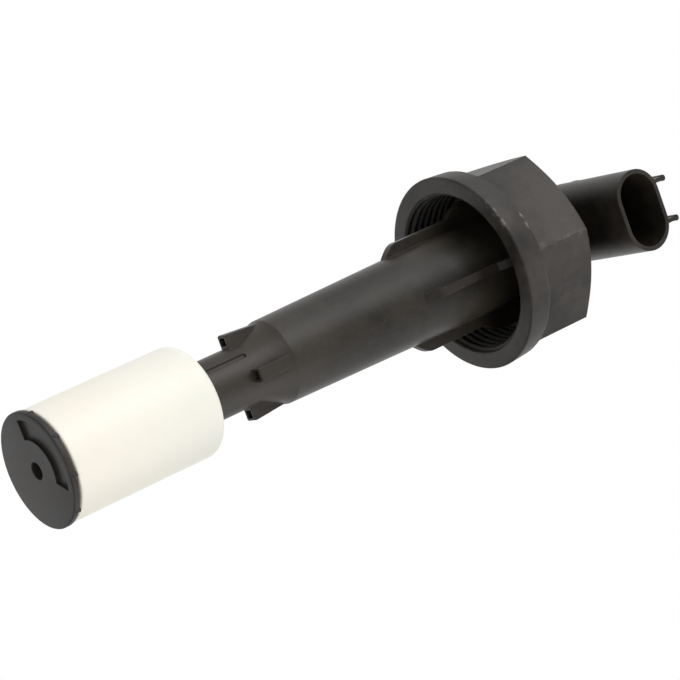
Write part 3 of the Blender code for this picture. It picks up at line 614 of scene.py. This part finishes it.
nib_outline = [(front - LATCH_LENGTH, HEAD_HEIGHT - OVERLAP), (front, HEAD_HEIGHT - OVERLAP),
               (front - LATCH_LENGTH, HEAD_HEIGHT + LATCH_HEIGHT)]
nib = extruded("nib", nib_outline, LATCH_WIDTH, Matrix.Rotation(math.pi / 2, 4, "X"))
print("socket floor at mm:", round(SOCKET_FLOOR / MM, 2))

# %% [markdown]
# ## Bores and keyway
#
# The stem is hollow for the switch's board, and its head has a step for the lid. A groove down
# the guide tube keeps the float from turning: it ends in a round before the shoulder.

# %% Draw the bores and the keyway
STEM_BORE_RADIUS = 6.8 * MM
GUIDE_BORE_RADIUS = 5.0 * MM
LID_RADIUS = 7.7 * MM
LID_THICKNESS = 1.5 * MM
TIP_WALL = 4.6 * MM
CAP_HUB_RADIUS = 4.2 * MM
CAP_HUB_HEIGHT = 2.6 * MM
KEYWAY_ANGLE = math.radians(-43.0)
KEYWAY_WIDTH = 1.2 * MM
KEYWAY_DEPTH = 0.6 * MM
LID_SEAT = HEAD_HEIGHT - LID_THICKNESS - GAP

bore = spun("bore", [
    (0, HEAD_HEIGHT + OVERLAP), (LID_RADIUS + GAP, HEAD_HEIGHT + OVERLAP), (LID_RADIUS + GAP, LID_SEAT),
    (STEM_BORE_RADIUS, LID_SEAT), (STEM_BORE_RADIUS, SHOULDER_TOP),
    (GUIDE_BORE_RADIUS, SHOULDER_TOP - (STEM_BORE_RADIUS - GUIDE_BORE_RADIUS)),
    (GUIDE_BORE_RADIUS, GUIDE_END + TIP_WALL), (0, GUIDE_END + TIP_WALL)], 96)
hub_hole = spun("hub_hole", [
    (0, GUIDE_END + CAP_HUB_HEIGHT + GAP), (CAP_HUB_RADIUS + GAP, GUIDE_END + CAP_HUB_HEIGHT + GAP),
    (CAP_HUB_RADIUS + GAP, GUIDE_END - OVERLAP), (0, GUIDE_END - OVERLAP)], 96)
groove_radius = (KEYWAY_WIDTH ** 2 / 4 + KEYWAY_DEPTH ** 2) / (2 * KEYWAY_DEPTH)
groove_top = SHOULDER_FOOT - KEYWAY_WIDTH
groove = spun("groove", arc((0, groove_top), groove_radius, 90, 0, 10)
              + [(groove_radius, GUIDE_END - OVERLAP), (0, GUIDE_END - OVERLAP)], 40)
reach = GUIDE_RADIUS - KEYWAY_DEPTH + groove_radius
groove_place = (reach * math.cos(KEYWAY_ANGLE), reach * math.sin(KEYWAY_ANGLE), 0)
groove.data.transform(Matrix.Translation(groove_place))
print("keyway radius in mm:", round(groove_radius / MM, 3))

# %% Put the housing together
joined = [("UNION", tool) for tool in fins + ribs + [shroud] + rails + [nib]]
removed = [("DIFFERENCE", tool) for tool in [hollow, window, bore, hub_hole, groove] + pockets]
carve(housing, *joined, *removed)
hand_over(housing, "housing", "sensor", STEM_BLACK)

# %% [markdown]
# ## The end cap
#
# A thin disc welded to the tip keeps the float on. It has a gate hole at its middle, a curved
# recess, which is left bare, and nine nubs on its inner face, so that wet plastic can't
# stick the float to it.

# %% Make the end cap
CAP_RADIUS = 13.45 * MM
CAP_EDGE = 0.3 * MM
CAP_REAR_EDGE = 0.15 * MM
CAP_HOLE_RADIUS = 2.05 * MM
CAP_HOLE_DEPTH = 3.2 * MM
CAP_RECESS_INNER = 7.1 * MM
CAP_RECESS_OUTER = 11.6 * MM
CAP_RECESS_DEPTH = 0.7 * MM
CAP_RECESS_MIDDLE = -33.3
CAP_RECESS_SPAN = 118.0
NUB_COUNT = 9
NUB_ANGLE = -31.3
NUB_RADIUS = 0.65 * MM
NUB_HEIGHT = 0.4 * MM
NUB_INSET = 0.5 * MM
CAP_FACE = -STEM_REACH
CAP_REAR = CAP_FACE + CAP_THICKNESS

cap_outline = [(0, GUIDE_END + CAP_HUB_HEIGHT)]
cap_outline += arc((CAP_HUB_RADIUS - CAP_EDGE, GUIDE_END + CAP_HUB_HEIGHT - CAP_EDGE), CAP_EDGE, 90, 0, 3)
cap_outline += [(CAP_HUB_RADIUS, CAP_REAR)]
cap_outline += arc((CAP_RADIUS - CAP_REAR_EDGE, CAP_REAR - CAP_REAR_EDGE), CAP_REAR_EDGE, 90, 0, 3)
cap_outline += arc((CAP_RADIUS - CAP_EDGE, CAP_FACE + CAP_EDGE), CAP_EDGE, 0, -90, 4) + [(0, CAP_FACE)]
end_cap = spun("end_cap_skin", cap_outline)
first, last = CAP_RECESS_MIDDLE - CAP_RECESS_SPAN / 2, CAP_RECESS_MIDDLE + CAP_RECESS_SPAN / 2
recess = extruded("recess", arc((0, 0), CAP_RECESS_INNER, first, last, 40)
                  + arc((0, 0), CAP_RECESS_OUTER, last, first, 40),
                  2 * CAP_RECESS_DEPTH, Matrix.Translation((0, 0, CAP_FACE)))
cap_hole = rod("cap_hole", CAP_HOLE_RADIUS, CAP_HOLE_DEPTH + OVERLAP,
               Matrix.Translation((0, 0, CAP_FACE - OVERLAP)), 64)
nubs = []
for n in range(NUB_COUNT):
    angle = math.radians(NUB_ANGLE + 360 / NUB_COUNT * n)
    spot = Vector((math.cos(angle), math.sin(angle), 0)) * (CAP_RADIUS - NUB_INSET)
    spot.z = CAP_REAR - CAP_THICKNESS / 2
    nubs.append(rod(f"nub_{n}", NUB_RADIUS, CAP_THICKNESS / 2 + NUB_HEIGHT, Matrix.Translation(spot), 24))
carve(end_cap, *[("UNION", nub) for nub in nubs], ("DIFFERENCE", recess), ("DIFFERENCE", cap_hole))
hand_over(end_cap, "end_cap", "sensor", CAP_BLACK)

# %% [markdown]
# ## The float
#
# The float is a hollow ring with a soft upper edge. Its bore carries a key that runs in the guide
# tube's groove, and a ring magnet sits in a pocket in its upper end under a retaining ring.

# %% Make the float
FLOAT_RADIUS = 13.15 * MM
FLOAT_LENGTH = 39.4 * MM
FLOAT_CLEARANCE = 0.55 * MM
FLOAT_TOP_EDGE = 2.3 * MM
FLOAT_LOW_EDGE = 0.5 * MM
KEY_WIDTH = 0.5 * MM
KEY_DEPTH = 0.25 * MM
KEY_LENGTH = 30.0 * MM
MAGNET_RADIUS = 11.5 * MM
MAGNET_WIDTH = 2.7 * MM
MAGNET_HEIGHT = 6.0 * MM
RETAINER_HEIGHT = 1.5 * MM
RETAINER_SETBACK = 0.4 * MM
FLOAT_BORE = GUIDE_RADIUS + FLOAT_CLEARANCE
FLOAT_LOW = CAP_REAR + NUB_HEIGHT + GAP
FLOAT_TOP = FLOAT_LOW + FLOAT_LENGTH
MAGNET_TOP = FLOAT_TOP - RETAINER_SETBACK - RETAINER_HEIGHT - GAP

float_outline = arc((FLOAT_RADIUS - FLOAT_TOP_EDGE, FLOAT_TOP - FLOAT_TOP_EDGE), FLOAT_TOP_EDGE, 90, 0, 10)
float_outline += arc((FLOAT_RADIUS - FLOAT_LOW_EDGE, FLOAT_LOW + FLOAT_LOW_EDGE), FLOAT_LOW_EDGE, 0, -90, 6)
float_outline += [(FLOAT_BORE, FLOAT_LOW), (FLOAT_BORE, FLOAT_TOP)]
float_body = spun("float_skin", float_outline)
pocket = spun("magnet_pocket", [
    (MAGNET_RADIUS - MAGNET_WIDTH - GAP, FLOAT_TOP + OVERLAP), (MAGNET_RADIUS + GAP, FLOAT_TOP + OVERLAP),
    (MAGNET_RADIUS + GAP, MAGNET_TOP - MAGNET_HEIGHT - GAP),
    (MAGNET_RADIUS - MAGNET_WIDTH - GAP, MAGNET_TOP - MAGNET_HEIGHT - GAP)])
key_low = FLOAT_LOW + OVERLAP
key = extruded("float_key", [
    (GUIDE_RADIUS - KEY_DEPTH, key_low), (FLOAT_BORE + GAP, key_low),
    (FLOAT_BORE + GAP, key_low + KEY_LENGTH), (GUIDE_RADIUS - KEY_DEPTH, key_low + KEY_LENGTH)],
    KEY_WIDTH, upright(KEYWAY_ANGLE))
carve(float_body, ("UNION", key), ("DIFFERENCE", pocket))
hand_over(float_body, "float_body", "float", FLOAT_IVORY)


# %% Make the magnet and its retainer
def ring(name, outer, width, low, height, edge):
    """A ring with rounded corners."""
    inner = outer - width
    outline = arc((outer - edge, low + height - edge), edge, 90, 0, 4)
    outline += arc((outer - edge, low + edge), edge, 0, -90, 4)
    outline += arc((inner + edge, low + edge), edge, -90, -180, 4)
    outline += arc((inner + edge, low + height - edge), edge, 180, 90, 4)
    return spun(name, outline)


RING_EDGE = 0.2 * MM

magnet = ring("magnet_ring", MAGNET_RADIUS, MAGNET_WIDTH, MAGNET_TOP - MAGNET_HEIGHT,
              MAGNET_HEIGHT, RING_EDGE)
hand_over(magnet, "float_magnet", "float", MAGNET_GREY)
retainer = ring("retainer_ring", MAGNET_RADIUS, MAGNET_WIDTH, FLOAT_TOP - RETAINER_SETBACK - RETAINER_HEIGHT,
                RETAINER_HEIGHT, RING_EDGE)
hand_over(retainer, "magnet_retainer", "float", FLOAT_IVORY)
print("float stands from", round(FLOAT_LOW / MM, 1), "to", round(FLOAT_TOP / MM, 1), "mm")

# %% [markdown]
# ## The union nut
#
# The nut is a hexagon with a round collar that is a little wider than its flats, so the flats
# end in shallow arcs at the collar. The collar's rear rim is well rounded, and a cone trims the
# corners at the rear. The thread is a real helix: a small trapezoid is spun and lifted by one
# pitch a turn, and its first turn is cut back to the chamfer of the nut's mouth.

# %% Make the union nut
NUT_FRONT = -14.5 * MM
NUT_LENGTH = 22.7 * MM
NUT_FLATS = 41.0 * MM
NUT_CLOCK = math.radians(27.7)
NUT_CHAMFER = 1.6 * MM
NUT_COLLAR_LENGTH = 7.0 * MM
NUT_COLLAR_RADIUS = 24.0 * MM
NUT_COLLAR_REAR_RADIUS = 23.6 * MM
NUT_EDGE = 0.4 * MM
NUT_COLLAR_FADE = 1.5 * MM
NUT_THREAD_ROOT = 19.7 * MM
NUT_MOUTH_CHAMFER = 0.4 * MM
NUT_LIP_HOLE = 13.5 * MM
NUT_REAR = NUT_FRONT + NUT_LENGTH
NUT_SEAT = FLANGE_THICKNESS + GAP

half_flats = NUT_FLATS / 2
corner = half_flats / math.cos(math.radians(30))
wide = corner + OVERLAP
inside_collar = NUT_FRONT + NUT_COLLAR_LENGTH / 2
hexagon_place = Matrix.Translation((0, 0, inside_collar)) @ Matrix.Rotation(NUT_CLOCK, 4, "Z")
hexagon = rod("nut_skin", corner, NUT_LENGTH - NUT_COLLAR_LENGTH / 2, hexagon_place, 6)
envelope = spun("nut_envelope", [
    (0, NUT_REAR), (half_flats, NUT_REAR),
    (wide, NUT_REAR - NUT_CHAMFER * (wide - half_flats) / (corner - half_flats)),
    (wide, NUT_FRONT + OVERLAP), (0, NUT_FRONT + OVERLAP)])
collar_end = NUT_FRONT + NUT_COLLAR_LENGTH
fade_middle = (NUT_COLLAR_REAR_RADIUS - NUT_COLLAR_FADE, collar_end - NUT_COLLAR_FADE)
collar = spun("nut_collar", [(0, collar_end)]
              + arc(fade_middle, NUT_COLLAR_FADE, 90, 0, 8)
              + arc((NUT_COLLAR_RADIUS - NUT_EDGE, NUT_FRONT + NUT_EDGE), NUT_EDGE, 0, -90, 5)
              + [(0, NUT_FRONT)])
nut_bore = spun("nut_bore", [
    (0, NUT_REAR + OVERLAP), (NUT_LIP_HOLE + NUT_EDGE, NUT_REAR + OVERLAP),
    (NUT_LIP_HOLE + NUT_EDGE, NUT_REAR),
    (NUT_LIP_HOLE, NUT_REAR - NUT_EDGE), (NUT_LIP_HOLE, NUT_SEAT), (NUT_THREAD_ROOT, NUT_SEAT),
    (NUT_THREAD_ROOT, NUT_FRONT + NUT_MOUTH_CHAMFER),
    (NUT_THREAD_ROOT + NUT_MOUTH_CHAMFER + OVERLAP, NUT_FRONT - OVERLAP), (0, NUT_FRONT - OVERLAP)])
carve(hexagon, ("INTERSECT", envelope), ("UNION", collar), ("DIFFERENCE", nut_bore))
hand_over(hexagon, "union_nut", "nut", NUT_BLACK)

# %% Cut the nut's thread
THREAD_PITCH = 2.0 * MM
THREAD_CREST = 19.0 * MM
THREAD_START = NUT_FRONT + 0.15 * MM
THREAD_END = -0.5 * MM
THREAD_FLANK = 0.85 * MM
THREAD_CREST_WIDTH = 0.55 * MM
THREAD_SINK = 0.12 * MM
STEPS_A_TURN = 96


def thread_ridge():
    root = NUT_THREAD_ROOT + THREAD_SINK
    low = THREAD_START - THREAD_PITCH
    turns = (THREAD_END - low) / THREAD_PITCH + 1
    shape = bmesh.new()
    profile = [(root, low), (THREAD_CREST, low + THREAD_FLANK - THREAD_CREST_WIDTH / 2),
               (THREAD_CREST, low + THREAD_FLANK + THREAD_CREST_WIDTH / 2), (root, low + 2 * THREAD_FLANK)]
    points = [shape.verts.new((radius, 0, height)) for radius, height in profile]
    edges = [shape.edges.new((points[n - 1], points[n])) for n in range(len(points))]
    steps = round(turns * STEPS_A_TURN)
    bmesh.ops.spin(shape, geom=points + edges, cent=(0, 0, 0), axis=(0, 0, 1),
                   dvec=(0, 0, THREAD_PITCH / STEPS_A_TURN), angle=turns * 2 * math.pi, steps=steps)
    for height, keep in ((THREAD_START, 1), (THREAD_END, -1)):
        everything = shape.verts[:] + shape.edges[:] + shape.faces[:]
        bmesh.ops.bisect_plane(shape, geom=everything, plane_co=(0, 0, height), plane_no=(0, 0, -keep),
                               clear_outer=True)
    for point in shape.verts:
        radius = math.hypot(point.co.x, point.co.y)
        mouth = NUT_THREAD_ROOT + NUT_MOUTH_CHAMFER - (point.co.z - NUT_FRONT)
        if radius < min(mouth, root):
            point.co.xy *= min(mouth, root) / radius
    rims = [edge for edge in shape.edges if edge.is_boundary]
    bmesh.ops.holes_fill(shape, edges=rims, sides=0)
    return finish_mesh("nut_thread", shape)


thread = thread_ridge()
thread.data.materials.append(NUT_BLACK)
thread.data.shade_smooth()
thread.data.set_sharp_from_angle(angle=math.radians(25))
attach(thread, "nut")
print("thread faces:", len(thread.data.polygons))

# %% [markdown]
# ## Seal and lid
#
# A flat rubber ring under the flange seals the neck. The lid closes the head over the switch's
# board, and its dished face sits flush.

# %% Make the seal and the lid
SEAL_THICKNESS = 2.0 * MM
SEAL_WIDTH = 2.0 * MM
LID_SPIGOT = 2.0 * MM
LID_DISH = 0.5 * MM
LID_EDGE = 0.2 * MM
SEAL_EDGE = 0.35 * MM

seal = ring("seal_skin", RIB_COLLAR_RADIUS + GAP + SEAL_WIDTH, SEAL_WIDTH, -GAP - SEAL_THICKNESS,
            SEAL_THICKNESS, SEAL_EDGE)
hand_over(seal, "seal_ring", "sensor", SEAL_RUBBER)
spigot = STEM_BORE_RADIUS - GAP
lid_outline = [(0, HEAD_HEIGHT - LID_DISH), (LID_RADIUS - 3 * LID_DISH, HEAD_HEIGHT - LID_DISH),
               (LID_RADIUS - 2 * LID_DISH, HEAD_HEIGHT)]
lid_outline += arc((LID_RADIUS - LID_EDGE, HEAD_HEIGHT - LID_EDGE), LID_EDGE, 90, 0, 4)
lid_outline += [(LID_RADIUS, HEAD_HEIGHT - LID_THICKNESS), (spigot, HEAD_HEIGHT - LID_THICKNESS),
                (spigot, HEAD_HEIGHT - LID_THICKNESS - LID_SPIGOT),
                (0, HEAD_HEIGHT - LID_THICKNESS - LID_SPIGOT)]
lid = spun("lid_skin", lid_outline)
hand_over(lid, "head_lid", "sensor", STEM_BLACK)
print("lid faces:", len(lid.data.polygons))

# %% [markdown]
# ## The pieces that keep their solids
#
# The pins, their carrier, the board and the switch are plain shapes that their solids already
# have, so they only get their finishes.

# %% Give the solids their finishes
KEPT = {
    "terminal_carrier": CARRIER_BLACK,
    "contact_pin_1": PIN_METAL,
    "contact_pin_2": PIN_METAL,
    "carrier_board": BOARD_GREEN,
    "tip_cushion": CUSHION_RUBBER,
    "reed_glass": CAPSULE_GLASS,
    "reed_blade_lower": BLADE_METAL,
    "reed_blade_upper": BLADE_METAL,
    "resistor_series": RESISTOR_GLAZE,
    "resistor_parallel": RESISTOR_GLAZE,
}
for node, finish in KEPT.items():
    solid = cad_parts[node]
    solid.data.materials.clear()
    solid.data.materials.append(finish)
print("solids kept:", len(KEPT))

# %% [markdown]
# ## Floor, light and background
#
# The part hangs over a pale floor in soft studio light, and the background is plain white, as on
# a packshot. A key and a top lamp draw the long highlight on the stem, a fill lifts its lower
# side, and a back lamp shows in the nut's face and the end cap. The lamps are set by the level
# that they give a surface that faces them: at a total near 1, a colour comes out about as it is
# written.

# %% Lay the floor
FLOOR_LEVEL = -0.5
FLOOR_SIZE = 8.0
floor_shape = bmesh.new()
bmesh.ops.create_grid(floor_shape, x_segments=1, y_segments=1, size=FLOOR_SIZE / 2,
                      matrix=Matrix.Translation((0, 0, FLOOR_LEVEL)))
floor = finish_mesh("floor", floor_shape)
floor_paint = Finish("floor_pale", Roughness=0.8)
floor_paint.set("Base Color", floor_paint.blend(floor_paint.noise(0.6, 2), rgba(0.8, 0.8, 0.8),
                                                rgba(0.84, 0.84, 0.84)))
floor.data.materials.append(floor_paint.material)
print("floor at", FLOOR_LEVEL)

# %% Hang the lamps
LAMP_DISTANCE = 0.8
SMALL_BOX = 0.5
LARGE_BOX = 0.8


def lamp(name, right, top, viewer, size, level):
    """A soft box seen from the part's middle in a direction of the picture."""
    way = (TO_RIGHT * right + TO_TOP * top + TO_VIEWER * viewer).normalized()
    light = bpy.data.lights.new(name, "AREA")
    light.shape = "SQUARE"
    light.size = size
    light.energy = level * math.pi ** 2 * LAMP_DISTANCE ** 2
    holder = bpy.data.objects.new(name, light)
    holder.location = MIDDLE + way * LAMP_DISTANCE
    holder.rotation_euler = way.to_track_quat("Z", "Y").to_euler()
    bpy.context.scene.collection.objects.link(holder)


lamp("key", 0.4, 0.76, 0.52, SMALL_BOX, 0.58)
lamp("top", 0.26, 0.97, 0.0, SMALL_BOX, 0.16)
lamp("fill", 0.62, -0.72, 0.3, LARGE_BOX, 0.47)
lamp("back", -0.83, -0.36, -0.4, SMALL_BOX, 0.2)

# %% Light the room
WORLD_LEVEL = 0.48
world = bpy.data.worlds.new("studio")
bpy.context.scene.world = world
world.use_nodes = True
room = world.node_tree
room.nodes.clear()
rays = room.nodes.new("ShaderNodeLightPath")
seen = room.nodes.new("ShaderNodeMath")
seen.operation = "MAXIMUM"
room.links.new(rays.outputs["Is Camera Ray"], seen.inputs[0])
mirrored = room.nodes.new("ShaderNodeMath")
mirrored.operation = "MAXIMUM"
room.links.new(rays.outputs["Is Glossy Ray"], mirrored.inputs[0])
room.links.new(rays.outputs["Is Transmission Ray"], mirrored.inputs[1])
room.links.new(mirrored.outputs[0], seen.inputs[1])
level = room.nodes.new("ShaderNodeMapRange")
level.inputs["To Min"].default_value = WORLD_LEVEL
level.inputs["To Max"].default_value = 1.0
room.links.new(seen.outputs[0], level.inputs["Value"])
sky = room.nodes.new("ShaderNodeBackground")
sky.inputs["Color"].default_value = (1, 1, 1, 1)
room.links.new(level.outputs["Result"], sky.inputs["Strength"])
surface = room.nodes.new("ShaderNodeOutputWorld")
room.links.new(sky.outputs[0], surface.inputs["Surface"])
bpy.context.scene.view_settings.view_transform = "Standard"
print("room level:", WORLD_LEVEL)
